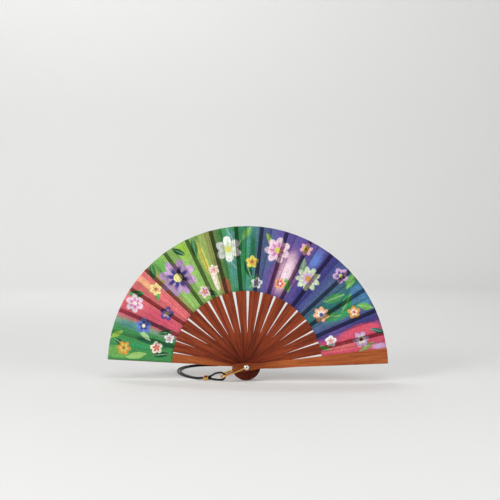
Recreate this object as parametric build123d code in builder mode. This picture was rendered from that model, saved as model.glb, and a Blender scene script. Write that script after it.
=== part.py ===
from build123d import *
import math
import os

# A pleated folding hand fan, standing open on its head.
# The frame has its origin on the rivet's axis at the middle of the stack of sticks.
# X runs to the right and Z up across the open fan, and the rivet lies along Y.
# The front guard faces -Y. "Lift" is a height in the stack, measured along -Y.

# Driving dimensions, in millimetres and degrees
CLOSED_LENGTH = 210.0
HEAD_REACH = 19.5  # from the rivet to the end of each stick's tail
LEAF_INNER = 102.3
LEAF_OUTER = CLOSED_LENGTH - HEAD_REACH
RIB_COUNT = 16
# Where each stick stands, from the back guard round to the front guard
STICK_ANGLES = (
    174.6, 165.55, 156.3, 146.5, 136.4, 126.05, 115.6, 105.1, 94.35,
    83.65, 73.15, 62.85, 52.75, 42.85, 33.2, 23.6, 13.95, 4.62,
)

GUARD_THICKNESS = 2.4
GUARD_EDGE = 0.5
GUARD_END_HALF = 10.35
GUARD_FLARE = ((-14.3, 5.2), (0, 5.4), (17.5, 3.75), (36, 4.75), (63, 5.15), (91.5, 6.2))

RIB_HEAD_THICKNESS = 1.1
RIB_HEAD_RADIUS = 26.0
BLADE_THICKNESS = 0.8
BLADE_END = LEAF_INNER
BLADE_END_HALF = 7.55
BLADE_EDGE = 0.15
RIB_FLARE = ((-14.3, 5.2), (0, 5.3), (17.5, 3.75), (34, 3.95), (51, 4.45))
HEAD_GAP = 0.15
BACK_GAP = 0.25
FRONT_GAP = 0.4
RIB_PITCH = RIB_HEAD_THICKNESS + HEAD_GAP
STACK = 2 * GUARD_THICKNESS + BACK_GAP + RIB_COUNT * RIB_PITCH - HEAD_GAP + FRONT_GAP

SLIP_WIDTH = 5.2
SLIP_THICKNESS = 0.6
SLIP_LIFT = (BLADE_THICKNESS - SLIP_THICKNESS) / 2
SLIP_ROOT = 97.0
SLIP_END = LEAF_OUTER - 1.2
SLIP_STATIONS = [BLADE_END + (SLIP_END - BLADE_END) * step / 4 for step in range(5)]

LEAF_THICKNESS = 0.25
GLUE = 0.08
FOLD_OFFSET = 2.9  # every fold line passes the rivet's axis at this distance
FOLD_GAP = 0.3
# How far each stick's pleat stands out of flat at the leaf's outer edge, from the back guard on
PLEAT_RELIEF = (0, 0.3, 1.45, 2.6, 3.7, 4.6, 4.8, 4.4, 3.3, 1.9, 0.5, 0.45, 0.45, 0.45, 0.45, 0.5, 0.56)

RIVET_RADIUS = 1.5
STICK_BORE_RADIUS = 1.55
WASHER_RADIUS = 3.35
WASHER_THICKNESS = 0.9
RIVET_DOME = 0.35
DIMPLE_RADIUS = 0.75
DIMPLE_DEPTH = 0.9

BAIL_ANGLE = 201.5
BAIL_REACH = 36.0
BAIL_WIRE_RADIUS = 1.6
BAIL_BEND = 5.0
BAIL_CLEARANCE = 0.2
BAIL_LIFT = STACK / 2 + BAIL_CLEARANCE + BAIL_WIRE_RADIUS
EYE_RADIUS = 3.6
EYE_SEAT_RADIUS = 3.75
EYE_BOTTOM = STACK / 2 + 0.1
EYE_TOP = STACK / 2 + 2.3
WASHER_GAP = 0.05

CORD_DIAMETER = 2.6
BEAD_RADIUS = 3.3
BEAD_LENGTH = 6.6
BEAD_EDGE = 1.1
BEAD_CENTRE = (-55.5, 2.0, -16.2)
FLOOR = -HEAD_REACH

# The cord lies on the surface that the head stands on.
# Both routes start and end at the bead, and their points are in order along the cord.
BAIL_CORD_ROUTE = (
    (-52.2, 3.4, -16.2),
    (-47.6, 3.5, -13.2),
    (-42.4, 2.8, -10.2),
    (-37.2, 1.4, -8.9),
    (-32.2, -0.4, -9.1),
    (-29.4, -1.9, -12.0),
    (-29.5, -3.2, -15.8),
    (-32.9, -3.8, -18.0),
    (-38.2, -3.2, -18.2),
    (-45.0, -1.2, -17.8),
    (-52.2, 0.6, -16.2),
)
WRIST_CORD_ROUTE = (
    (-58.8, 3.4, -16.2),
    (-64.4, 8.9, -17.3),
    (-71.4, 17.4, -18.2),
    (-79.4, 28.9, -18.2),
    (-86.8, 44.0, -18.2),
    (-92.4, 61.3, -18.2),
    (-96.2, 80.6, -18.2),
    (-97.4, 100.4, -18.2),
    (-94.3, 119.2, -18.2),
    (-86.5, 135.0, -18.2),
    (-73.9, 146.2, -18.2),
    (-59.4, 150.4, -18.2),
    (-47.4, 149.0, -18.2),
    (-39.6, 155.4, -18.2),
    (-40.6, 165.6, -18.2),
    (-50.2, 169.7, -18.2),
    (-62.6, 165.6, -18.2),
    (-78.8, 153.5, -18.2),
    (-91.2, 138.9, -18.2),
    (-98.9, 121.0, -18.2),
    (-101.4, 100.6, -18.2),
    (-99.9, 79.8, -18.2),
    (-95.9, 59.6, -18.2),
    (-89.8, 41.7, -18.2),
    (-81.6, 26.0, -18.2),
    (-72.8, 13.9, -18.2),
    (-65.4, 5.9, -17.3),
    (-58.8, 0.6, -16.2),
)

os.makedirs("parts", exist_ok=True)


def save(piece, label):
    piece.part.label = label
    export_step(piece.part, f"parts/{label}.step")


def rib_lift(index):
    return -STACK / 2 + GUARD_THICKNESS + BACK_GAP + RIB_HEAD_THICKNESS / 2 + (index - 1) * RIB_PITCH


def fan_plane(angle, lift=0.0):
    """The plane of a stick: local X runs outwards along it, Y to its anticlockwise side, Z towards -Y."""
    turn = math.radians(angle)
    return Plane(origin=(0, -lift, 0), x_dir=(math.cos(turn), 0, math.sin(turn)), z_dir=(0, -1, 0))


def outline(flare, end, end_half):
    """A stick's outline: round tail, waisted neck and a blade that widens in a straight line."""
    (tail_x, tail_half), (flare_x, flare_half) = flare[0], flare[-1]
    CenterArc((tail_x, 0), tail_half, 90, 90)
    Spline(*flare, tangents=((1, 0), (end - flare_x, end_half - flare_half)))
    Polyline((flare_x, flare_half), (end, end_half), (end, 0))
    mirror(about=Plane.XZ)


def guard(label, angle, lift):
    with BuildPart() as stick:
        with BuildSketch(fan_plane(angle, lift)):
            with BuildLine():
                outline(GUARD_FLARE, LEAF_OUTER, GUARD_END_HALF)
            make_face()
        extrude(amount=GUARD_THICKNESS / 2, both=True)
        for face in (stick.faces().sort_by(Axis.Y)[0], stick.faces().sort_by(Axis.Y)[-1]):
            fillet(face.outer_wire().edges(), GUARD_EDGE)
        with Locations(fan_plane(angle, lift)):
            Hole(STICK_BORE_RADIUS)
    save(stick, label)


# Pleats: each stick's own panel runs from a ridge beside the stick to a groove half a pitch on
def relief_share(radius):
    return (radius - BLADE_END) / (LEAF_OUTER - BLADE_END)


def panel_width(index, radius):
    return radius * math.sin(math.radians(STICK_ANGLES[index] - STICK_ANGLES[index + 1])) / 2


def ridge_rise(index):
    return PLEAT_RELIEF[index] * FOLD_OFFSET / panel_width(index, LEAF_OUTER)


def groove_drop(index):
    return PLEAT_RELIEF[index] - ridge_rise(index)


def leaf_lift(index):
    """The middle of the leaf's thickness: in front of the back guard, or of a rib's blade."""
    front = -STACK / 2 + GUARD_THICKNESS if index == 0 else rib_lift(index) + BLADE_THICKNESS / 2
    return front + GLUE + LEAF_THICKNESS / 2


def ridge_point(index, radius):
    if index > RIB_COUNT:
        lift = STACK / 2 - GUARD_THICKNESS - GLUE - LEAF_THICKNESS / 2
    else:
        lift = leaf_lift(index) + ridge_rise(index) * relief_share(radius)
    return fan_plane(STICK_ANGLES[index]).from_local_coords(Vector(radius, FOLD_OFFSET, lift))


def groove_point(index, radius):
    lift = leaf_lift(index) - groove_drop(index) * relief_share(radius)
    angle = (STICK_ANGLES[index] + STICK_ANGLES[index + 1]) / 2
    return fan_plane(angle).from_local_coords(Vector(radius, FOLD_OFFSET, lift))


def guard_edge_point(radius):
    flare_x, flare_half = GUARD_FLARE[-1]
    share = (radius - flare_x) / (LEAF_OUTER - flare_x)
    half = flare_half + (GUARD_END_HALF - flare_half) * share - GUARD_EDGE
    return fan_plane(STICK_ANGLES[0]).from_local_coords(Vector(radius, half, leaf_lift(0)))


def leaf_panel(label, starts, ends, gap):
    """One flat panel of the leaf, lofted from its inner edge to its outer edge."""
    with BuildPart() as panel:
        for start, end in zip(starts, ends):
            across = end - start
            section = Plane(origin=(start + end) / 2, x_dir=across, z_dir=across.cross(Vector(0, -1, 0)))
            with BuildSketch(section):
                Rectangle(across.length - 2 * gap, LEAF_THICKNESS)
        loft(ruled=True)
    save(panel, label)


def rib(index):
    plane = fan_plane(STICK_ANGLES[index], rib_lift(index))
    with BuildPart() as stick:
        with BuildSketch(plane):
            with BuildLine():
                outline(RIB_FLARE, BLADE_END, BLADE_END_HALF)
            make_face()
        extrude(amount=BLADE_THICKNESS / 2, both=True)
        for face in (stick.faces().sort_by(Axis.Y)[0], stick.faces().sort_by(Axis.Y)[-1]):
            chamfer(face.outer_wire().edges(), BLADE_EDGE)
        with BuildSketch(plane):
            with BuildLine():
                outline(RIB_FLARE, BLADE_END, BLADE_END_HALF)
            make_face()
            Circle(RIB_HEAD_RADIUS, mode=Mode.INTERSECT)
        extrude(amount=RIB_HEAD_THICKNESS / 2, both=True)
        # The slip behind the leaf turns with its pleat towards the outer end
        for radius in (SLIP_ROOT, *SLIP_STATIONS):
            share = max(relief_share(radius), 0)
            slope = PLEAT_RELIEF[index] * share / panel_width(index, radius)
            lift = SLIP_LIFT + ridge_rise(index) * share - slope * FOLD_OFFSET
            middle = plane.from_local_coords(Vector(radius, 0, lift))
            across = plane.from_local_coords(Vector(radius, 1, lift + slope)) - middle
            with BuildSketch(Plane(origin=middle, x_dir=across, z_dir=plane.x_dir)):
                Rectangle(SLIP_WIDTH, SLIP_THICKNESS)
        loft(ruled=True)
        with Locations(plane):
            Hole(STICK_BORE_RADIUS)
    save(stick, f"rib_{index:02d}")


guard("back_guard", STICK_ANGLES[0], -STACK / 2 + GUARD_THICKNESS / 2)
guard("front_guard", STICK_ANGLES[-1], STACK / 2 - GUARD_THICKNESS / 2)
for index in range(1, RIB_COUNT + 1):
    rib(index)

# The leaf: one panel is glued to each stick, and one folds freely to the next stick
PANEL_RADII = (LEAF_INNER, LEAF_OUTER)
FOLD_RADII = (LEAF_INNER + 2 * FOLD_GAP, LEAF_OUTER)
for index in range(RIB_COUNT + 1):
    grooves = [groove_point(index, radius) for radius in PANEL_RADII]
    if index == 0:
        ridges = [guard_edge_point(radius) for radius in PANEL_RADII]
    else:
        ridges = [ridge_point(index, radius) for radius in PANEL_RADII]
    leaf_panel(f"leaf_panel_{index:02d}", grooves, ridges, 0)
    starts = [ridge_point(index + 1, radius) for radius in FOLD_RADII]
    ends = [groove_point(index, radius) for radius in FOLD_RADII]
    leaf_panel(f"leaf_fold_{index:02d}", starts, ends, FOLD_GAP)

# Rivet pin: a plain shank with domed, dimpled ends that stand just proud of the washers
PIN_HALF = EYE_TOP + WASHER_GAP + WASHER_THICKNESS
with BuildPart() as rivet:
    with BuildSketch(Plane.XZ):
        Circle(RIVET_RADIUS)
    extrude(amount=PIN_HALF + RIVET_DOME, both=True)
    fillet(rivet.edges().filter_by(GeomType.CIRCLE), RIVET_DOME * 0.9)
    for end in (Plane.XZ.offset(PIN_HALF + RIVET_DOME), -Plane.XZ.offset(-PIN_HALF - RIVET_DOME)):
        with BuildSketch(end):
            Circle(DIMPLE_RADIUS)
        extrude(amount=-DIMPLE_DEPTH, taper=20, mode=Mode.SUBTRACT)
save(rivet, "rivet")

for label, side in (("front_washer", 1), ("back_washer", -1)):
    with BuildPart() as washer:
        with BuildSketch(Plane.XZ.offset(side * (PIN_HALF - WASHER_THICKNESS / 2))):
            Circle(WASHER_RADIUS)
            Circle(RIVET_RADIUS, mode=Mode.SUBTRACT)
        extrude(amount=WASHER_THICKNESS / 2, both=True)
        outer_face = washer.faces().filter_by(Axis.Y).sort_by(Axis.Y)[0 if side > 0 else -1]
        fillet(outer_face.outer_wire().edges(), WASHER_THICKNESS * 0.6)
    save(washer, label)

# Bail: a bent wire with an eye at each end, hung on the rivet outside the guards
bail_turn = math.radians(BAIL_ANGLE)
bail_out = Vector(math.cos(bail_turn), 0, math.sin(bail_turn))
bail_plane = Plane(origin=(0, 0, 0), x_dir=(0, -1, 0), z_dir=bail_out.cross(Vector(0, -1, 0)))
bail_sign = 1 if bail_plane.y_dir.dot(bail_out) > 0 else -1
with BuildPart() as bail:
    with BuildLine(bail_plane):
        wire_path = FilletPolyline(
            (BAIL_LIFT, bail_sign * RIVET_RADIUS * 1.8),
            (BAIL_LIFT, bail_sign * BAIL_REACH),
            (-BAIL_LIFT, bail_sign * BAIL_REACH),
            (-BAIL_LIFT, bail_sign * RIVET_RADIUS * 1.8),
            radius=BAIL_BEND,
        )
    with BuildSketch(Plane(origin=wire_path @ 0, z_dir=wire_path % 0)):
        Circle(BAIL_WIRE_RADIUS)
    sweep(path=wire_path)
    for side in (1, -1):
        with BuildSketch(Plane.XZ.offset(side * (EYE_BOTTOM + EYE_TOP) / 2)):
            Circle(EYE_RADIUS)
        extrude(amount=(EYE_TOP - EYE_BOTTOM) / 2, both=True)
        # A seat for the washer, then the bore for the rivet
        with BuildSketch(Plane.XZ.offset(side * (EYE_TOP + BAIL_WIRE_RADIUS))):
            Circle(EYE_SEAT_RADIUS)
        extrude(amount=BAIL_WIRE_RADIUS, both=True, mode=Mode.SUBTRACT)
        with BuildSketch(Plane.XZ.offset(side * BAIL_LIFT)):
            Circle(STICK_BORE_RADIUS)
        extrude(amount=2 * BAIL_WIRE_RADIUS, both=True, mode=Mode.SUBTRACT)
save(bail, "bail")

# Bead: a barrel that holds the cord's strands together
with BuildPart() as bead:
    with BuildSketch(Plane(origin=BEAD_CENTRE, z_dir=(1, 0, 0))):
        Circle(BEAD_RADIUS)
    extrude(amount=BEAD_LENGTH / 2, both=True)
    fillet(bead.edges().filter_by(GeomType.CIRCLE), BEAD_EDGE)
save(bead, "cord_bead")


def corner_radii(route):
    """Each corner's arc takes 0.45 of its shorter run."""
    radii = []
    for before, corner, after in zip(route, route[1:], route[2:]):
        run_in, run_out = Vector(corner) - Vector(before), Vector(after) - Vector(corner)
        half_turn = math.radians(run_in.get_angle(run_out)) / 2
        radii.append(0.45 * min(run_in.length, run_out.length) / math.tan(half_turn))
    return radii


def cord(label, route):
    radii = corner_radii(route)
    with BuildPart() as tube:
        with BuildLine():
            path = FilletPolyline(*route, radius=radii)
        with BuildSketch(Plane(origin=path @ 0, z_dir=path % 0)):
            Circle(CORD_DIAMETER / 2)
        sweep(path=path)
    section = math.pi * CORD_DIAMETER**2 / 4
    share = tube.part.volume / (section * path.length)
    print(label, "length", round(path.length, 1), "volume share", round(share, 4))
    print(label, "radii", [round(radius, 1) for radius in radii])
    save(tube, label)


cord("bail_cord", BAIL_CORD_ROUTE)
cord("wrist_cord", WRIST_CORD_ROUTE)
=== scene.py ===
import math

import bmesh
import bpy
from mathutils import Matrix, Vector


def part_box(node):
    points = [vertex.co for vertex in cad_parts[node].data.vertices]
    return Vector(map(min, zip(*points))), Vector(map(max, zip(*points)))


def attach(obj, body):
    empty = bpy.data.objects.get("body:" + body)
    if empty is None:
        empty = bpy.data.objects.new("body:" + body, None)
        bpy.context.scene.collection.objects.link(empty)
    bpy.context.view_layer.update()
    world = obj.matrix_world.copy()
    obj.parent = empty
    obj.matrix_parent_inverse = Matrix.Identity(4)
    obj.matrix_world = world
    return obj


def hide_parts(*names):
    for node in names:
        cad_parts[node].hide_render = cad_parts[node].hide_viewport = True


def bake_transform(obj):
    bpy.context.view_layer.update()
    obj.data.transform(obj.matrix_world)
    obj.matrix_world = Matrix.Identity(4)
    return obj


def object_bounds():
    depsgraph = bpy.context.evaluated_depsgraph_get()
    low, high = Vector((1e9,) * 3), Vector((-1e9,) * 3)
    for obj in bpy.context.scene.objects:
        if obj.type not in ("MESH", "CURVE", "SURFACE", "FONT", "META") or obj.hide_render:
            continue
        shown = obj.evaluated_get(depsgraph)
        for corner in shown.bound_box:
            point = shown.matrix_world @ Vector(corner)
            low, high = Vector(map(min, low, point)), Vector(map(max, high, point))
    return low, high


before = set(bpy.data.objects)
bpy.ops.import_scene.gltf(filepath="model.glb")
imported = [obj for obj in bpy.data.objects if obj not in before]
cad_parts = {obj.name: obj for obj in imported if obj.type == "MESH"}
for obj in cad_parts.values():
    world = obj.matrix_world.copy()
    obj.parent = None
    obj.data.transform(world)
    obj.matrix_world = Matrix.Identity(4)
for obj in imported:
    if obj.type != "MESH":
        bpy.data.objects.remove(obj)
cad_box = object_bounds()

# A pleated folding hand fan, standing open on its head. Sizes are in metres and angles in degrees.
# X runs to the right, Z up and -Y towards the front guard; the rivet lies along Y through the origin.
# "Lift" is a height in the stack of sticks, measured along -Y.
MM = 0.001
RIB_COUNT = 16
# Where each stick stands, from the back guard round to the front guard
STICK_ANGLES = (
    174.6, 165.55, 156.3, 146.5, 136.4, 126.05, 115.6, 105.1, 94.35,
    83.65, 73.15, 62.85, 52.75, 42.85, 33.2, 23.6, 13.95, 4.62,
)
GUARD_THICKNESS = 2.4 * MM
STACK = 2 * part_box("back_guard")[1].y
FLOOR = cad_box[0].z

# The leaf, as the CAD has it
LEAF_INNER = 102.3 * MM
LEAF_OUTER = 190.5 * MM
LEAF_THICKNESS = 0.25 * MM
GLUE = 0.08 * MM
FOLD_OFFSET = 2.9 * MM  # every fold line passes the rivet's axis at this distance
BLADE_THICKNESS = 0.8 * MM
FIRST_RIB_LIFT = -STACK / 2 + GUARD_THICKNESS + 0.8 * MM
RIB_PITCH = 1.25 * MM
PLEAT_RELIEF = (0, 0.3, 1.45, 2.6, 3.7, 4.6, 4.8, 4.4, 3.3, 1.9, 0.5, 0.45, 0.45, 0.45, 0.45, 0.5, 0.56)
GUARD_FLARE_RADIUS = 91.5 * MM
GUARD_FLARE_HALF = 6.2 * MM
GUARD_END_HALF = 10.35 * MM
GUARD_EDGE = 0.5 * MM
SLIP_HALF = 2.75 * MM  # half as wide as a slip shows through the cloth
LEAF_ROWS = 24
PANEL_COLUMNS = 4
FOLD_COLUMNS = 8
SLIP_SHADOW_SHOWS = {0: 0.0, 1: 0.35, 2: 0.75, 17: 0.0}  # elsewhere 1: how darkly a slip's painted shadow shows through the cloth

# The cloth's surface. Shades multiply the print's colour: painted shadow of the slips and painted shade of
# the creases and pleats
WEAVE_PITCH = 0.9 * MM
STRIPE_SOFT = 0.35 * MM
STRIPE_GAMMA = 1.35
# Painted shadow where each slip blocks the light through the thin cloth, over the slip's own dark wood
SLIP_SHADOW_SHADE = (0.4, 0.37, 0.36, 1)
PRESSED_START = 3.4 * MM  # lines of painted shade, where creases are pressed into the cloth beside each slip
PRESSED_END = 9.4 * MM
PRESSED_PITCH = 3.0 * MM
PRESSED_SOFT = 0.3 * MM
PAINTED_CREASE_SHADE = (0.7, 0.68, 0.67, 1)
GLUED_SIDE_SHADE_SHARE = 0.9  # how strongly painted shade darkens the glued side of each pleat, up to the fold line
PAINTED_GLUED_SIDE_SHADE = (0.68, 0.67, 0.66, 1)
BACK_FADE = 0.58  # how far the print fades to the plain cloth on the leaf's back
BACK_CLOTH = (0.72, 0.7, 0.66, 1)

# The print's shapes
PETAL_DEPTH = 0.34  # how far the notches between petals reach in, as a share of the flower
INNER_SHARE = 0.56  # the flower's inner ring and its eye, as shares of its size
EYE_SHARE = 0.24
VEIN_HALF = 0.09  # half a leaf's midrib, as a share of its half width
EDGE_SOFTNESS = {"brush": 0.22, "glow": 0.75}

# How far out along the sticks painted shade darkens the wood near the head, where the sticks overlap, from
# full to none
HEAD_SHADE_START = 10 * MM
HEAD_SHADE_END = 60 * MM
PAINTED_HEAD_SHADE = (0.58, 0.46, 0.38, 1)
DIMPLE_SHADE_RADIUS = 0.6 * MM  # painted shade in the dimple of the rivet's end, and where that shade ends
DIMPLE_SHADE_EDGE = 0.95 * MM

# The cord's route is the CAD's: both stretches start and end at the bead
CORD_DIAMETER = 2.6 * MM
BAIL_CORD_ROUTE = (
    (-0.0522, 0.0034, -0.0162),
    (-0.0476, 0.0035, -0.0132),
    (-0.0424, 0.0028, -0.0102),
    (-0.0372, 0.0014, -0.0089),
    (-0.0322, -0.0004, -0.0091),
    (-0.0294, -0.0019, -0.0120),
    (-0.0295, -0.0032, -0.0158),
    (-0.0329, -0.0038, -0.0180),
    (-0.0382, -0.0032, -0.0182),
    (-0.0450, -0.0012, -0.0178),
    (-0.0522, 0.0006, -0.0162),
)
WRIST_CORD_ROUTE = (
    (-0.0588, 0.0034, -0.0162),
    (-0.0644, 0.0089, -0.0173),
    (-0.0714, 0.0174, -0.0182),
    (-0.0794, 0.0289, -0.0182),
    (-0.0868, 0.0440, -0.0182),
    (-0.0924, 0.0613, -0.0182),
    (-0.0962, 0.0806, -0.0182),
    (-0.0974, 0.1004, -0.0182),
    (-0.0943, 0.1192, -0.0182),
    (-0.0865, 0.1350, -0.0182),
    (-0.0739, 0.1462, -0.0182),
    (-0.0594, 0.1504, -0.0182),
    (-0.0474, 0.1490, -0.0182),
    (-0.0396, 0.1554, -0.0182),
    (-0.0406, 0.1656, -0.0182),
    (-0.0502, 0.1697, -0.0182),
    (-0.0626, 0.1656, -0.0182),
    (-0.0788, 0.1535, -0.0182),
    (-0.0912, 0.1389, -0.0182),
    (-0.0989, 0.1210, -0.0182),
    (-0.1014, 0.1006, -0.0182),
    (-0.0999, 0.0798, -0.0182),
    (-0.0959, 0.0596, -0.0182),
    (-0.0898, 0.0417, -0.0182),
    (-0.0816, 0.0260, -0.0182),
    (-0.0728, 0.0139, -0.0182),
    (-0.0654, 0.0059, -0.0173),
    (-0.0588, 0.0006, -0.0162),
)

# The thread bound round the two strands beside the bead, on the bail's side
BINDING_CENTRE = Vector((-0.0499, 0.0018, -0.01575))
BINDING_LENGTH = 3.6 * MM
BINDING_TURNS = 5
BINDING_THREAD = 0.42 * MM
BINDING_SPREAD = Vector((0, 1.68, 0.85)) * MM  # from the middle to each strand
BINDING_REACH = 1.6 * MM
BINDING_STEPS = 16

STUDIO_RADIUS = 4.2
STUDIO_CURVE = 1.0
STUDIO_HEIGHT = 3.6
STUDIO_STEPS = 16
STUDIO_SEGMENTS = 96

CAMERA_PLACE = (0.0046, -1.2277, 0.1578)
CAMERA_LENS = 65

PALETTE = {
    "white": (0.93, 0.95, 0.93),
    "cream": (0.95, 0.91, 0.82),
    "pale yellow": (0.96, 0.93, 0.60),
    "yellow": (0.88, 0.86, 0.40),
    "lime": (0.60, 0.76, 0.25),
    "pale green": (0.82, 0.88, 0.74),
    "mint": (0.66, 0.82, 0.60),
    "light green": (0.60, 0.78, 0.42),
    "leaf green": (0.42, 0.68, 0.33),
    "green": (0.27, 0.57, 0.32),
    "emerald": (0.22, 0.60, 0.36),
    "deep green": (0.12, 0.40, 0.26),
    "dark green": (0.07, 0.34, 0.20),
    "sage": (0.50, 0.64, 0.53),
    "olive": (0.56, 0.58, 0.32),
    "dark teal": (0.17, 0.43, 0.42),
    "teal": (0.32, 0.57, 0.55),
    "slate": (0.32, 0.40, 0.56),
    "blue": (0.30, 0.51, 0.68),
    "sky": (0.39, 0.51, 0.80),
    "indigo": (0.25, 0.24, 0.52),
    "violet": (0.38, 0.32, 0.60),
    "lilac": (0.80, 0.66, 0.83),
    "pink white": (0.94, 0.84, 0.89),
    "pink": (0.92, 0.68, 0.78),
    "magenta": (0.85, 0.52, 0.74),
    "mauve": (0.70, 0.42, 0.58),
    "plum": (0.52, 0.24, 0.32),
    "coral": (0.92, 0.46, 0.48),
    "rose": (0.84, 0.33, 0.43),
    "peach": (0.95, 0.70, 0.52),
    "brown": (0.68, 0.42, 0.30),
    "ochre": (0.86, 0.62, 0.27),
}

# The print is a generic one: plain flowers and leaves over broad strokes of paint. Angles are degrees round
# the open fan, and radii and sizes are in mm.
# Ground: angle, colour
GROUND = (
    (6, "rose"), (15, "rose"), (21, "indigo"), (28, "slate"), (36, "dark teal"), (44, "slate"),
    (50, "indigo"), (60, "violet"), (76, "violet"), (83, "slate"), (88, "teal"), (94, "emerald"),
    (101, "green"), (107, "olive"), (114, "light green"), (133, "light green"), (138, "coral"),
    (150, "coral"), (157, "rose"), (160, "sage"), (163, "green"), (176, "green"),
)

# Strokes: colour, angle, radius, half length out along the fan, half width, edge
STROKES = (
    ("leaf green", 174, 178, 18, 9, "brush"),
    ("deep green", 166, 128, 30, 5, "brush"),
    ("emerald", 170, 150, 22, 5, "glow"),
    ("teal", 161, 165, 24, 6, "glow"),
    ("rose", 151, 132, 34, 10, "glow"),
    ("plum", 156, 140, 34, 3, "glow"),
    ("peach", 141, 176, 20, 6, "glow"),
    ("leaf green", 131, 176, 20, 9, "glow"),
    ("lime", 119, 180, 16, 8, "glow"),
    ("yellow", 112, 158, 26, 4, "brush"),
    ("brown", 104, 112, 13, 6, "brush"),
    ("cream", 110, 126, 18, 4, "brush"),
    ("emerald", 93, 146, 32, 10, "brush"),
    ("teal", 98, 132, 28, 5, "glow"),
    ("deep green", 87, 160, 28, 5, "glow"),
    ("slate", 79, 160, 28, 13, "glow"),
    ("mauve", 68, 136, 34, 16, "glow"),
    ("pink white", 67, 138, 28, 10, "glow"),
    ("indigo", 54, 136, 32, 9, "glow"),
    ("sky", 57, 172, 16, 7, "glow"),
    ("blue", 32, 182, 18, 16, "brush"),
    ("dark teal", 36, 136, 30, 9, "brush"),
    ("emerald", 29, 150, 28, 7, "glow"),
    ("rose", 17, 160, 30, 11, "brush"),
    ("coral", 12, 132, 26, 6, "glow"),
    ("violet", 22, 130, 22, 7, "glow"),
    ("lilac", 9, 182, 12, 5, "glow"),
)

# Leaves: colour, angle, radius, half length, half width, turn from pointing outwards
LEAVES = (
    ("light green", 175, 152, 15, 4.6, 14), ("dark green", 170.5, 172, 15, 4.4, -28),
    ("lime", 166.5, 183, 10, 3.4, 40), ("dark green", 173, 118, 13, 4, 12),
    ("mint", 163.5, 146, 12, 3.4, -30), ("green", 147, 180, 12, 5, 34),
    ("leaf green", 141, 158, 12, 4, -40), ("dark green", 158, 120, 11, 3.6, 30),
    ("green", 135, 182, 12, 4.6, -32), ("dark green", 121, 181, 11, 4, 36),
    ("green", 114, 176, 14, 4.6, -12), ("deep green", 115.5, 111, 9, 3.4, 42),
    ("teal", 97, 178, 13, 6.4, 24), ("deep green", 94.5, 158, 15, 6, -22),
    ("teal", 98.5, 144, 13, 6, 30), ("leaf green", 90, 181, 11, 5, -34),
    ("dark green", 89, 132, 14, 5, 20), ("emerald", 85.5, 116, 12, 4.6, -24),
    ("lime", 80, 176, 9, 2.8, 30), ("sage", 75.5, 158, 11, 3.4, -28),
    ("leaf green", 63.5, 123, 10, 4.6, 34), ("sage", 60.5, 156, 11, 4, 20),
    ("leaf green", 39.5, 182, 12, 5.6, 26), ("green", 38, 150, 16, 6, -18),
    ("emerald", 32.5, 160, 15, 6.4, 32), ("green", 31, 132, 15, 5.4, -26),
    ("leaf green", 27, 180, 11, 4.6, -36), ("olive", 9.6, 164, 12, 4, 26),
    ("dark teal", 15.4, 184, 11, 3.4, -30), ("leaf green", 13.6, 108, 9, 3, -24),
)

# Flowers: petals, inner ring and eye, then angle, radius, size and number of petals
FLOWERS = (
    ("ochre", "yellow", "brown", 172, 170, 10, 6),
    ("cream", "rose", "ochre", 169, 126, 9, 5),
    ("white", "lilac", "ochre", 161, 112, 7, 5),
    ("sky", "indigo", "cream", 159, 151, 11, 5),
    ("pink white", "magenta", "cream", 151, 175, 13, 6),
    ("violet", "lilac", "yellow", 147, 130, 10, 5),
    ("pale yellow", "peach", "brown", 140, 162, 9, 6),
    ("lilac", "indigo", "pale yellow", 128, 152, 26, 8),
    ("cream", "magenta", "ochre", 119.5, 116, 9, 5),
    ("cream", "pink", "ochre", 109, 138, 8, 6),
    ("white", "pale green", "yellow", 99, 161, 18, 6),
    ("yellow", "ochre", "brown", 87, 142, 9, 5),
    ("white", "sky", "ochre", 83, 114, 8, 5),
    ("pink white", "magenta", "yellow", 75, 163, 18, 7),
    ("peach", "rose", "cream", 68, 121, 8, 5),
    ("pink", "yellow", "ochre", 63, 178, 9, 6),
    ("pale green", "lilac", "ochre", 55, 145, 17, 9),
    ("lilac", "violet", "yellow", 44, 177, 11, 5),
    ("peach", "white", "violet", 35, 123, 11, 7),
    ("ochre", "cream", "rose", 27, 163, 9, 5),
    ("white", "pink", "ochre", 17, 119, 8, 5),
    ("lilac", "cream", "plum", 13.5, 159, 11, 6),
)


def linear(colour, alpha=1.0):
    """A colour as it looks on a screen, as the numbers that shaders work in."""
    return tuple(c / 12.92 if c <= 0.04045 else ((c + 0.055) / 1.055) ** 2.4 for c in colour) + (alpha,)


def on_fan(angle, across_radius, across=0.0, lift=0.0):
    """A point of a stick: its distance out along the stick, anticlockwise across it, and its lift."""
    turn = math.radians(angle)
    x = across_radius * math.cos(turn) - across * math.sin(turn)
    z = across_radius * math.sin(turn) + across * math.cos(turn)
    return Vector((x, -lift, z))


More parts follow.
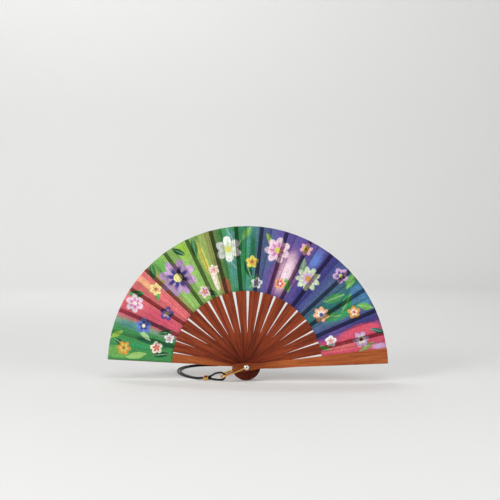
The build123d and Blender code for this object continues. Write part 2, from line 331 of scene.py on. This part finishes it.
# Shader building
class Graph:
    """Adds nodes to one shader tree."""

    def __init__(self, tree):
        self.tree = tree

    def add(self, kind, inputs=None, **settings):
        node = self.tree.nodes.new("ShaderNode" + kind)
        for name, value in settings.items():
            setattr(node, name, value)
        for name, value in (inputs or {}).items():
            self.put(node.inputs[name], value)
        return node

    def put(self, socket, value):
        if isinstance(value, bpy.types.NodeSocket):
            self.tree.links.new(value, socket)
        else:
            socket.default_value = value

    def maths(self, operation, first, second=0.0, clamp=False):
        node = self.add("Math", {0: first, 1: second}, operation=operation, use_clamp=clamp)
        return node.outputs[0]

    def vector(self, operation, first, second=(0, 0, 0)):
        node = self.add("VectorMath", {0: first, 1: second}, operation=operation)
        return node.outputs["Value" if operation in ("LENGTH", "DOT_PRODUCT") else "Vector"]

    def scaled(self, vector, scale):
        return self.vector("MULTIPLY", vector, scale)

    def noise(self, place, scale=1.0, detail=2.0, roughness=0.5, output="Fac"):
        inputs = {"Vector": place, "Scale": scale, "Detail": detail, "Roughness": roughness}
        return self.add("TexNoise", inputs).outputs[output]

    def span(self, value, low, high, start=0.0, end=1.0):
        """Maps low..high smoothly to start..end, and holds the ends."""
        inputs = {"Value": value, "From Min": low, "From Max": high, "To Min": start, "To Max": end}
        return self.add("MapRange", inputs, interpolation_type="SMOOTHSTEP").outputs[0]

    def mix(self, share, first, second, blend_type="MIX"):
        node = self.add("Mix", data_type="RGBA", blend_type=blend_type)
        self.put(node.inputs[0], share)
        self.put(node.inputs[6], first)
        self.put(node.inputs[7], second)
        return node.outputs[2]

    def ramp(self, share, stops):
        node = self.add("ValToRGB", {"Fac": share})
        elements = node.color_ramp.elements
        elements[0].position, elements[0].color = stops[0]
        elements[1].position, elements[1].color = stops[-1]
        for place, colour in stops[1:-1]:
            elements.new(place).color = colour
        return node.outputs["Color"]

    def grey(self, value):
        return self.add("CombineColor", {0: value, 1: value, 2: value}).outputs[0]

    def bump(self, height, distance, strength=1.0, under=None):
        inputs = {"Height": height, "Distance": distance, "Strength": strength}
        if under is not None:
            inputs["Normal"] = under
        return self.add("Bump", inputs).outputs["Normal"]


def new_material(name):
    """A material with its Principled shader, and the graph to feed it."""
    material = bpy.data.materials.new(name)
    material.use_nodes = True
    graph = Graph(material.node_tree)
    return material, graph, material.node_tree.nodes["Principled BSDF"]


# The leaf's print
def warped(graph, place, reach, scale, detail):
    """The place, shifted up to reach by noise, for edges that look painted."""
    noise = graph.noise(place, scale, detail, 0.6, "Color")
    shift = graph.scaled(graph.vector("SUBTRACT", noise, (0.5, 0.5, 0.5)), (reach, reach, 0))
    return graph.vector("ADD", place, shift)


def around(graph, place, centre, halves, turn=0.0):
    """A place's coordinates along and across a motif from its middle, in which its edge is at 1."""
    angle, radius = centre
    middle = on_fan(angle, radius * MM)
    parts = []
    for half, quarter in zip(halves, (0, 90)):
        direction = math.radians(angle + turn + quarter)
        x, z = math.cos(direction) / (half * MM), math.sin(direction) / (half * MM)
        parts.append(graph.vector("DOT_PRODUCT", place, (x, z, -x * middle.x - z * middle.z)))
    return parts


def distance_from(graph, along, across):
    """The distance from a motif's middle; its edge is at 1."""
    return graph.vector("LENGTH", graph.add("CombineXYZ", {0: along, 1: across}).outputs[0])


def paint(graph, share, colour, name):
    """Lays a named colour over the print, where its share isn't 0."""
    return graph.mix(share, colour, linear(PALETTE[name]))


def stroke(graph, colour, place, name, angle, radius, long, wide, edge):
    """A broad stroke of paint that runs out along the fan."""
    distance = distance_from(graph, *around(graph, place, (angle, radius), (long, wide)))
    soft = EDGE_SOFTNESS[edge]
    return paint(graph, graph.span(distance, 1 - soft, 1 + soft / 2, 1, 0), colour, name)


def foliage(graph, colour, place, name, angle, radius, long, wide, turn):
    """A leaf with two pointed ends and a pale midrib."""
    along, across = around(graph, place, (angle, radius), (long, wide), turn)
    away = graph.maths("ABSOLUTE", across)
    bow = graph.maths("ADD", away, graph.maths("MULTIPLY", along, along))
    shape = graph.span(bow, 0.9, 1.05, 1, 0)
    colour = paint(graph, shape, colour, name)
    vein = graph.maths("MULTIPLY", shape, graph.span(away, VEIN_HALF, 2.5 * VEIN_HALF, 0.5, 0))
    return paint(graph, vein, colour, "mint")


def flower(graph, colour, place, petal, inner, eye, angle, radius, size, count):
    """A plain round-petalled flower, with an inner ring and an eye."""
    along, across = around(graph, place, (angle, radius), (size, size))
    distance = distance_from(graph, along, across)
    round_it = graph.maths("MULTIPLY", graph.maths("ARCTAN2", across, along), count / 2)
    petals = graph.maths("ABSOLUTE", graph.maths("COSINE", round_it))
    edge = graph.maths("ADD", distance, graph.maths("MULTIPLY", petals, -PETAL_DEPTH))
    edge = graph.maths("ADD", edge, PETAL_DEPTH)
    colour = paint(graph, graph.span(edge, 0.93, 1.05, 1, 0), colour, petal)
    colour = paint(graph, graph.span(edge, INNER_SHARE * 0.8, INNER_SHARE * 1.3, 1, 0), colour, inner)
    return paint(graph, graph.span(distance, EYE_SHARE * 0.8, EYE_SHARE * 1.1, 1, 0), colour, eye)


def print_ground(graph, place):
    """The print's ground colours, which change with the angle of the open fan."""
    x, z = (graph.vector("DOT_PRODUCT", place, axis) for axis in ((1, 0, 0), (0, 1, 0)))
    angle = graph.maths("ARCTAN2", z, x)
    stops = [(degrees / 180, linear(PALETTE[name])) for degrees, name in GROUND]
    return graph.ramp(graph.maths("DIVIDE", angle, math.pi), stops)


def print_group():
    """The leaf's painted print as one node group, from the cloth's own flat coordinates."""
    tree = bpy.data.node_groups.new("leaf_print", "ShaderNodeTree")
    tree.interface.new_socket("Color", in_out="OUTPUT", socket_type="NodeSocketColor")
    graph = Graph(tree)
    cloth = graph.add("Attribute", attribute_name="cloth").outputs["Vector"]
    brushed = warped(graph, cloth, 6 * MM, 230, 3)
    drawn = warped(graph, cloth, 2.6 * MM, 300, 3)
    colour = print_ground(graph, brushed)
    for motif in STROKES:
        colour = stroke(graph, colour, brushed, *motif)
    for motif in LEAVES:
        colour = foliage(graph, colour, drawn, *motif)
    for motif in FLOWERS:
        colour = flower(graph, colour, drawn, *motif)
    strokes = graph.noise(graph.scaled(cloth, (1, 0.18, 1)), 900, 3, 0.7)
    washes = graph.noise(cloth, 65, 4, 0.65)
    tones = graph.span(strokes, 0.3, 0.75, 0.84, 1.1)
    tones = graph.maths("MULTIPLY", tones, graph.span(washes, 0.3, 0.7, 0.9, 1.06))
    colour = graph.mix(1.0, colour, graph.grey(tones), "MULTIPLY")
    output = tree.nodes.new("NodeGroupOutput")
    tree.links.new(colour, output.inputs["Color"])
    return tree


# Materials
def weave_height(graph, cloth):
    """A plain weave: threads that cross over and under each other."""
    parts = graph.add("SeparateXYZ", {0: graph.scaled(cloth, (2 * math.pi / WEAVE_PITCH,) * 3)})
    waves = [graph.maths("SINE", parts.outputs[axis]) for axis in (0, 1)]
    return graph.maths("MULTIPLY", *waves)


def slip_shadow_stripe(graph, colour, across, slip_shadow_share):
    """The slip behind the thin cloth shows through it as a dark, rich stripe: the slip's own dark wood and
    a painted shadow where it blocks the light through the cloth.
    """
    away = graph.maths("ABSOLUTE", across)
    stripe = graph.span(away, SLIP_HALF - STRIPE_SOFT, SLIP_HALF + STRIPE_SOFT, 1, 0)
    stripe = graph.maths("MULTIPLY", stripe, slip_shadow_share)
    deep = graph.add("Gamma", {"Color": colour, "Gamma": STRIPE_GAMMA}).outputs[0]
    deep = graph.mix(1.0, deep, SLIP_SHADOW_SHADE, "MULTIPLY")
    return graph.mix(stripe, colour, deep)


def crease_shade_lines(graph, colour, across, pleat_shade_share):
    """Painted shade of the creases pressed into the cloth beside each slip."""
    wave = graph.maths("PINGPONG", graph.maths("SUBTRACT", across, PRESSED_START), PRESSED_PITCH / 2)
    line = graph.span(wave, 0.5 * MM, 1.3 * MM)
    inside = graph.span(across, PRESSED_START, PRESSED_START + PRESSED_SOFT)
    before_end = graph.span(across, PRESSED_END - PRESSED_SOFT, PRESSED_END, 1, 0)
    inside = graph.maths("MULTIPLY", inside, before_end)
    line = graph.maths("MULTIPLY", graph.maths("MULTIPLY", line, inside), pleat_shade_share)
    return graph.mix(line, colour, PAINTED_CREASE_SHADE, "MULTIPLY")


def pleat_shades(graph, colour, pleat):
    """The painted slip shadow, the painted shade of the pressed creases and the painted shade on the glued
    side of each pleat.
    """
    across, slip_shadow_share, pleat_shade_share = graph.add("SeparateXYZ", {0: pleat}).outputs
    colour = slip_shadow_stripe(graph, colour, across, slip_shadow_share)
    colour = crease_shade_lines(graph, colour, across, pleat_shade_share)
    # Painted shade on each pleat's glued side, which deepens the pleats' shading
    glued_side_shade = graph.span(across, FOLD_OFFSET - 0.2 * MM, FOLD_OFFSET + 0.1 * MM, 1, 0)
    glued_side_shade = graph.maths("MULTIPLY", glued_side_shade, graph.maths("MULTIPLY", pleat_shade_share, GLUED_SIDE_SHADE_SHARE))
    return graph.mix(glued_side_shade, colour, PAINTED_GLUED_SIDE_SHADE, "MULTIPLY")


def cotton(name, print_tree, front):
    """Printed plain-weave cotton; the print shows pale through its back."""
    material, graph, shader = new_material(name)
    cloth = graph.add("Attribute", attribute_name="cloth").outputs["Vector"]
    colour = graph.add("Group", node_tree=print_tree).outputs["Color"]
    if front:
        pleat = graph.add("Attribute", attribute_name="pleat").outputs["Vector"]
        colour = pleat_shades(graph, colour, pleat)
    else:
        colour = graph.mix(BACK_FADE, colour, BACK_CLOTH)
    weft = graph.noise(graph.scaled(cloth, (0.08, 1.0, 1)), 1300, 1)
    warp = graph.noise(graph.scaled(cloth, (1.0, 0.08, 1)), 1300, 1)
    slub = graph.span(graph.maths("ADD", weft, warp), 0.75, 1.25, 0.8, 1.16)
    colour = graph.mix(1.0, colour, graph.grey(slub), "MULTIPLY")
    graph.put(shader.inputs["Base Color"], colour)
    graph.put(shader.inputs["Roughness"], graph.span(slub, 0.8, 1.16, 0.92, 0.74))
    ripples = graph.bump(graph.noise(cloth, 110, 2), 0.6 * MM, 0.2)
    slubs = graph.bump(graph.maths("ADD", weft, warp), 0.16 * MM, 0.5, ripples)
    graph.put(shader.inputs["Normal"], graph.bump(weave_height(graph, cloth), 0.05 * MM, 0.6, slubs))
    shader.inputs["Sheen Weight"].default_value = 0.12
    shader.inputs["Specular IOR Level"].default_value = 0.25
    return material


def wood(name, angle, seed, dark, light):
    """Oiled wood with its grain along the stick, with painted shade darkening it towards the head, where
    the sticks overlap.
    """
    material, graph, shader = new_material(name)
    place = graph.add("TexCoord").outputs["Object"]
    turned = graph.add("Mapping", {"Vector": place})
    turned.inputs["Rotation"].default_value = (0, math.radians(angle), 0)
    turned.inputs["Location"].default_value = (seed * 0.31, seed * 0.17, seed * 0.23)
    along = turned.outputs[0]
    bands = graph.noise(graph.scaled(along, (14, 260, 260)), 1, 3, 0.6)
    grain = graph.noise(graph.scaled(along, (45, 1500, 1500)), 1, 3, 0.65)
    pores = graph.noise(graph.scaled(along, (130, 3200, 3200)), 1, 1)
    tone = graph.maths("ADD", graph.maths("MULTIPLY", bands, 0.55), graph.maths("MULTIPLY", grain, 0.45))
    colour = graph.mix(graph.span(tone, 0.36, 0.64), linear(dark), linear(light))
    pore = graph.span(pores, 0.6, 0.7)
    colour = graph.mix(graph.maths("MULTIPLY", pore, 0.45), colour, linear([c * 0.5 for c in dark]))
    radius = graph.vector("LENGTH", graph.scaled(place, (1, 0, 1)))
    # Painted shade near the head, where the sticks overlap
    head_shade = graph.span(radius, HEAD_SHADE_START, HEAD_SHADE_END, 1, 0)
    colour = graph.mix(head_shade, colour, PAINTED_HEAD_SHADE, "MULTIPLY")
    graph.put(shader.inputs["Base Color"], colour)
    graph.put(shader.inputs["Roughness"], graph.span(tone, 0.3, 0.7, 0.62, 0.5))
    height = graph.maths("SUBTRACT", grain, graph.maths("MULTIPLY", pore, 0.8))
    graph.put(shader.inputs["Normal"], graph.bump(height, 0.06 * MM, 0.5))
    shader.inputs["Specular IOR Level"].default_value = 0.14
    return material


def metal(name, colour, roughness, turned):
    """Polished metal with fine scratches and tarnish. On a turned part the scratches are rings round the
    dimple, which is painted dark as shade.
    """
    material, graph, shader = new_material(name)
    place = graph.add("TexCoord").outputs["Object"]
    if turned:
        ring = graph.vector("LENGTH", graph.scaled(place, (1, 0, 1)))
        place = graph.add("CombineXYZ", {0: ring}).outputs[0]
    scratches = graph.noise(graph.scaled(place, (4200, 900, 4200)), 1, 3, 0.7)
    smudges = graph.noise(place, 260, 2)
    graph.put(shader.inputs["Roughness"], graph.span(smudges, 0.3, 0.7, roughness * 0.75, roughness * 1.4))
    tarnish_and_dimple_shade = graph.mix(graph.span(smudges, 0.4, 0.75), linear(colour), linear([c * 0.88 for c in colour]))
    if turned:
        # Painted shade in the dimple of the rivet's end
        dimple_shade = graph.span(ring, DIMPLE_SHADE_RADIUS, DIMPLE_SHADE_EDGE, 1, 0)
        tarnish_and_dimple_shade = graph.mix(dimple_shade, tarnish_and_dimple_shade, (0.02, 0.018, 0.015, 1))
    graph.put(shader.inputs["Base Color"], tarnish_and_dimple_shade)
    graph.put(shader.inputs["Normal"], graph.bump(scratches, 0.002 * MM, 0.04))
    shader.inputs["Metallic"].default_value = 1.0
    return material


def leather_cord(name, roughness):
    """Black round cord with a fine grain."""
    material, graph, shader = new_material(name)
    place = graph.add("TexCoord").outputs["Object"]
    grain = graph.noise(place, 1800, 4, 0.6)
    creases = graph.add("TexVoronoi", {"Vector": place, "Scale": 1300.0}, feature="DISTANCE_TO_EDGE")
    blacks = ((0.003, 0.003, 0.0035, 1), (0.01, 0.0095, 0.01, 1))
    graph.put(shader.inputs["Base Color"], graph.mix(grain, *blacks))
    graph.put(shader.inputs["Roughness"], graph.span(grain, 0.3, 0.7, roughness * 0.8, roughness * 1.25))
    height = graph.maths("ADD", graph.span(creases.outputs[0], 0.0, 0.25), grain)
    graph.put(shader.inputs["Normal"], graph.bump(height, 0.05 * MM, 0.4))
    shader.inputs["Specular IOR Level"].default_value = 0.16
    return material


def paper(name, colour):
    """The studio's plain pale floor and wall."""
    material, graph, shader = new_material(name)
    shader.inputs["Base Color"].default_value = linear(colour)
    shader.inputs["Roughness"].default_value = 0.9
    shader.inputs["Specular IOR Level"].default_value = 0.1
    return material


# The leaf's fold lines
def relief_share(radius):
    return (radius - LEAF_INNER) / (LEAF_OUTER - LEAF_INNER)


def ridge_rise(index):
    pitch = math.radians(STICK_ANGLES[index] - STICK_ANGLES[index + 1])
    return PLEAT_RELIEF[index] * MM * FOLD_OFFSET / (LEAF_OUTER * math.sin(pitch) / 2)


def leaf_lift(index):
    """The middle of the leaf's thickness over a stick: in front of the back guard, or of a rib's blade."""
    front = FIRST_RIB_LIFT + (index - 1) * RIB_PITCH + BLADE_THICKNESS / 2
    if index == 0:
        front = -STACK / 2 + GUARD_THICKNESS
    return front + GLUE + LEAF_THICKNESS / 2


def ridge_point(index, radius):
    """The fold beside a stick; the last one is behind the front guard."""
    if index > RIB_COUNT:
        lift = STACK / 2 - GUARD_THICKNESS - GLUE - LEAF_THICKNESS / 2
    else:
        lift = leaf_lift(index) + ridge_rise(index) * relief_share(radius)
    return on_fan(STICK_ANGLES[index], radius, FOLD_OFFSET, lift)


def groove_point(index, radius):
    """The fold half-way from a stick to the next."""
    drop = (PLEAT_RELIEF[index] * MM - ridge_rise(index)) * relief_share(radius)
    angle = (STICK_ANGLES[index] + STICK_ANGLES[index + 1]) / 2
    return on_fan(angle, radius, FOLD_OFFSET, leaf_lift(index) - drop)


def guard_edge_point(_, radius):
    """The leaf's end, along the back guard's edge."""
    share = (radius - GUARD_FLARE_RADIUS) / (LEAF_OUTER - GUARD_FLARE_RADIUS)
    half = GUARD_FLARE_HALF + (GUARD_END_HALF - GUARD_FLARE_HALF) * share - GUARD_EDGE
    return on_fan(STICK_ANGLES[0], radius, half, leaf_lift(0))


# The leaf's cloth
def add_object(name, data):
    made = bpy.data.objects.new(name, data)
    bpy.context.scene.collection.objects.link(made)
    return made


def strip_mesh(name, first_line, last_line, columns):
    """A sheet stretched between two straight fold lines."""
    bm = bmesh.new()
    rows = []
    for row in range(LEAF_ROWS + 1):
        radius = LEAF_INNER + (LEAF_OUTER - LEAF_INNER) * row / LEAF_ROWS
        first, last = first_line(radius), last_line(radius)
        rows.append([bm.verts.new(first.lerp(last, column / columns)) for column in range(columns + 1)])
    for below, above in zip(rows, rows[1:]):
        for column in range(columns):
            bm.faces.new((below[column], below[column + 1], above[column + 1], above[column]))
    mesh = bpy.data.meshes.new(name)
    bm.to_mesh(mesh)
    bm.free()
    for face in mesh.polygons:
        face.use_smooth = True
    return mesh


def mark_cloth(mesh, stick):
    """Gives each point its place on the print, its distance across its slip, and how strongly the painted
    slip shadow and pleat shade show there.
    """
    turn = math.radians(STICK_ANGLES[stick])
    relief = PLEAT_RELIEF[min(stick, RIB_COUNT)]
    stripe = SLIP_SHADOW_SHOWS.get(stick, 1.0)
    # How strongly the painted crease and glued-side shade show: more where the pleat's relief is deeper
    lines = min(1.0, 0.25 + relief / 4.0)
    cloth = mesh.attributes.new("cloth", "FLOAT_VECTOR", "POINT")
    pleat = mesh.attributes.new("pleat", "FLOAT_VECTOR", "POINT")
    for vertex, flat, beside in zip(mesh.vertices, cloth.data, pleat.data):
        x, z = vertex.co.x, vertex.co.z
        flat.vector = (x, z, 1)
        beside.vector = (z * math.cos(turn) - x * math.sin(turn), stripe, lines)


def cloth_piece(name, lines, columns, stick, materials):
    """One strip of the leaf with its print in front, its pale back and its own thickness."""
    mesh = strip_mesh(name, *lines, columns)
    mark_cloth(mesh, stick)
    for material in materials:
        mesh.materials.append(material)
    piece = add_object(name + "_cotton", mesh)
    shell = piece.modifiers.new("thickness", "SOLIDIFY")
    shell.thickness = LEAF_THICKNESS
    shell.offset = 0
    shell.material_offset = 1
    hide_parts(name)
    return piece


def declare_cloth(lines):
    """Works out the corners of the strip's flat cut, a trapezium between its two fold lines, and does
    nothing more with them.
    """
    corners = [line(radius) for radius in (LEAF_INNER, LEAF_OUTER) for line in lines]


def fold_blend(piece):
    """Bakes a free fold's transform into its mesh; nothing bends it between its two sticks."""
    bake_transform(piece)


def leaf(bodies, materials):
    for index in range(RIB_COUNT + 1):
        start = guard_edge_point if index == 0 else ridge_point
        lines = [lambda r, i=index, f=f: f(i, r) for f in (start, groove_point)]
        panel = cloth_piece(f"leaf_panel_{index:02d}", lines, PANEL_COLUMNS, index, materials)
        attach(panel, bodies[index])
        declare_cloth(lines)
        lines = [lambda r, i=index: groove_point(i, r), lambda r, i=index + 1: ridge_point(i, r)]
        fold = cloth_piece(f"leaf_fold_{index:02d}", lines, FOLD_COLUMNS, index + 1, materials)
        declare_cloth(lines)
        fold_blend(fold)


# The cord
def cord_curve(name, route, material):
    curve = bpy.data.curves.new(name, "CURVE")
    curve.dimensions = "3D"
    curve.bevel_depth = CORD_DIAMETER / 2
    curve.bevel_resolution = 6
    curve.resolution_u = 10
    curve.use_fill_caps = True
    spline = curve.splines.new("NURBS")
    spline.points.add(len(route) - 1)
    for point, place in zip(spline.points, route):
        point.co = (*place, 1)
    spline.order_u = 3
    spline.use_endpoint_u = True
    curve.materials.append(material)
    piece = add_object(name + "_leather", curve)
    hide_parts(name)
    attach(piece, "bail")
    return piece


def binding_piece(material):
    """Thread wound closely round both strands of the cord."""
    curve = bpy.data.curves.new("cord_binding", "CURVE")
    curve.dimensions = "3D"
    curve.bevel_depth = BINDING_THREAD
    curve.bevel_resolution = 4
    curve.resolution_u = 6
    curve.use_fill_caps = True
    steps = BINDING_TURNS * BINDING_STEPS
    beside = BINDING_SPREAD.cross(Vector((1, 0, 0))).normalized() * BINDING_REACH
    outward = BINDING_SPREAD.normalized() * BINDING_REACH
    spline = curve.splines.new("NURBS")
    spline.points.add(steps)
    for step, point in enumerate(spline.points):
        turn = 2 * math.pi * step / BINDING_STEPS
        middle = BINDING_SPREAD * max(-1, min(1, 1.6 * math.cos(turn)))
        place = BINDING_CENTRE + middle + outward * math.cos(turn) + beside * math.sin(turn)
        place.x += BINDING_LENGTH * (step / steps - 0.5)
        point.co = (*place, 1)
    spline.order_u = 3
    spline.use_endpoint_u = True
    curve.materials.append(material)
    piece = add_object("cord_binding", curve)
    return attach(piece, "bail")


def cords():
    leather = leather_cord("cord_leather", 0.4)
    binding = binding_piece(leather_cord("waxed_thread", 0.55))
    eye = cord_curve("bail_cord", BAIL_CORD_ROUTE, leather)
    loop = cord_curve("wrist_cord", WRIST_CORD_ROUTE, leather)


# The CAD parts' finishes
def finish_part(name, material):
    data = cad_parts[name].data
    data.materials.clear()
    data.materials.append(material)


def wooden_parts():
    guard_tones = ((0.54, 0.265, 0.135), (0.72, 0.39, 0.2))
    rib_tones = ((0.37, 0.14, 0.07), (0.6, 0.265, 0.145))
    finish_part("back_guard", wood("back_guard_wood", STICK_ANGLES[0], 1, *guard_tones))
    finish_part("front_guard", wood("front_guard_wood", STICK_ANGLES[-1], 2, *guard_tones))
    for index in range(1, RIB_COUNT + 1):
        material = wood(f"rib_{index:02d}_wood", STICK_ANGLES[index], index + 2, *rib_tones)
        finish_part(f"rib_{index:02d}", material)


def metal_parts():
    gold = metal("gold_tone", (0.92, 0.7, 0.4), 0.16, False)
    nickel = metal("nickel", (0.93, 0.92, 0.9), 0.2, True)
    for name in ("bail", "cord_bead"):
        finish_part(name, gold)
    for name in ("rivet", "front_washer", "back_washer"):
        finish_part(name, nickel)


# The studio
def studio():
    """A pale floor that curves up into a round wall."""
    profile = [(0, FLOOR), (STUDIO_RADIUS - STUDIO_CURVE, FLOOR)]
    for step in range(1, STUDIO_STEPS + 1):
        turn = math.pi / 2 * step / STUDIO_STEPS
        profile.append((STUDIO_RADIUS - STUDIO_CURVE * (1 - math.sin(turn)),
                        FLOOR + STUDIO_CURVE * (1 - math.cos(turn))))
    profile.append((STUDIO_RADIUS, STUDIO_HEIGHT))
    bm = bmesh.new()
    points = [bm.verts.new((radius, 0, height)) for radius, height in profile]
    edges = [bm.edges.new(pair) for pair in zip(points, points[1:])]
    bmesh.ops.spin(bm, geom=points + edges, cent=(0, 0, 0), axis=(0, 0, 1), angle=2 * math.pi,
                   steps=STUDIO_SEGMENTS, use_merge=True)
    bmesh.ops.remove_doubles(bm, verts=bm.verts, dist=1e-5)
    bmesh.ops.recalc_face_normals(bm, faces=bm.faces)
    bmesh.ops.reverse_faces(bm, faces=bm.faces)
    mesh = bpy.data.meshes.new("studio")
    bm.to_mesh(mesh)
    bm.free()
    for face in mesh.polygons:
        face.use_smooth = True
    mesh.materials.append(paper("studio_paper", (0.9, 0.9, 0.895)))
    add_object("studio", mesh)


def area_light(name, place, aim, size, power):
    """A round white light that the camera doesn't see."""
    data = bpy.data.lights.new(name, "AREA")
    data.shape = "DISK"
    data.size = size
    data.energy = power
    light = add_object(name, data)
    light.location = place
    light.rotation_euler = (Vector(aim) - Vector(place)).to_track_quat("-Z", "Y").to_euler()
    light.visible_camera = False
    return light


def lighting():
    world = bpy.data.worlds.new("studio_air")
    world.use_nodes = True
    world.node_tree.nodes["Background"].inputs["Color"].default_value = (1, 1, 1, 1)
    world.node_tree.nodes["Background"].inputs["Strength"].default_value = 0.12
    bpy.context.scene.world = world
    bpy.context.scene.view_settings.view_transform = "Standard"
    area_light("key", (-1.35, -1.35, 0.7), (0, 0, 0.06), 1.0, 21)
    area_light("fill", (1.4, -1.3, 0.6), (0, 0, 0.06), 1.0, 8)
    overhead = area_light("overhead", (0.1, -1.0, 2.1), (0.1, -0.8, FLOOR), 2.4, 27)
    overhead.visible_glossy = False  # so that the bail's upper side stays dark
    area_light("wall", (-1.1, 1.4, 3.0), (0, 4.2, 1.2), 1.6, 66)
    area_light("far floor", (-0.4, 1.9, 3.2), (0, 2.3, FLOOR), 1.6, 12)


def camera():
    data = bpy.data.cameras.new("camera")
    data.lens = CAMERA_LENS
    data.sensor_width = 36
    data.clip_start = 0.01
    made = add_object("camera", data)
    made.location = CAMERA_PLACE
    made.rotation_euler = (math.pi / 2, 0, 0)
    bpy.context.scene.camera = made


camera()
cords()
print_tree = print_group()
cottons = [cotton("leaf_front", print_tree, True), cotton("leaf_back", print_tree, False)]
leaf(["back_guard", *(f"rib_{index:02d}" for index in range(1, RIB_COUNT + 1)), "front_guard"], cottons)
wooden_parts()
metal_parts()
studio()
lighting()
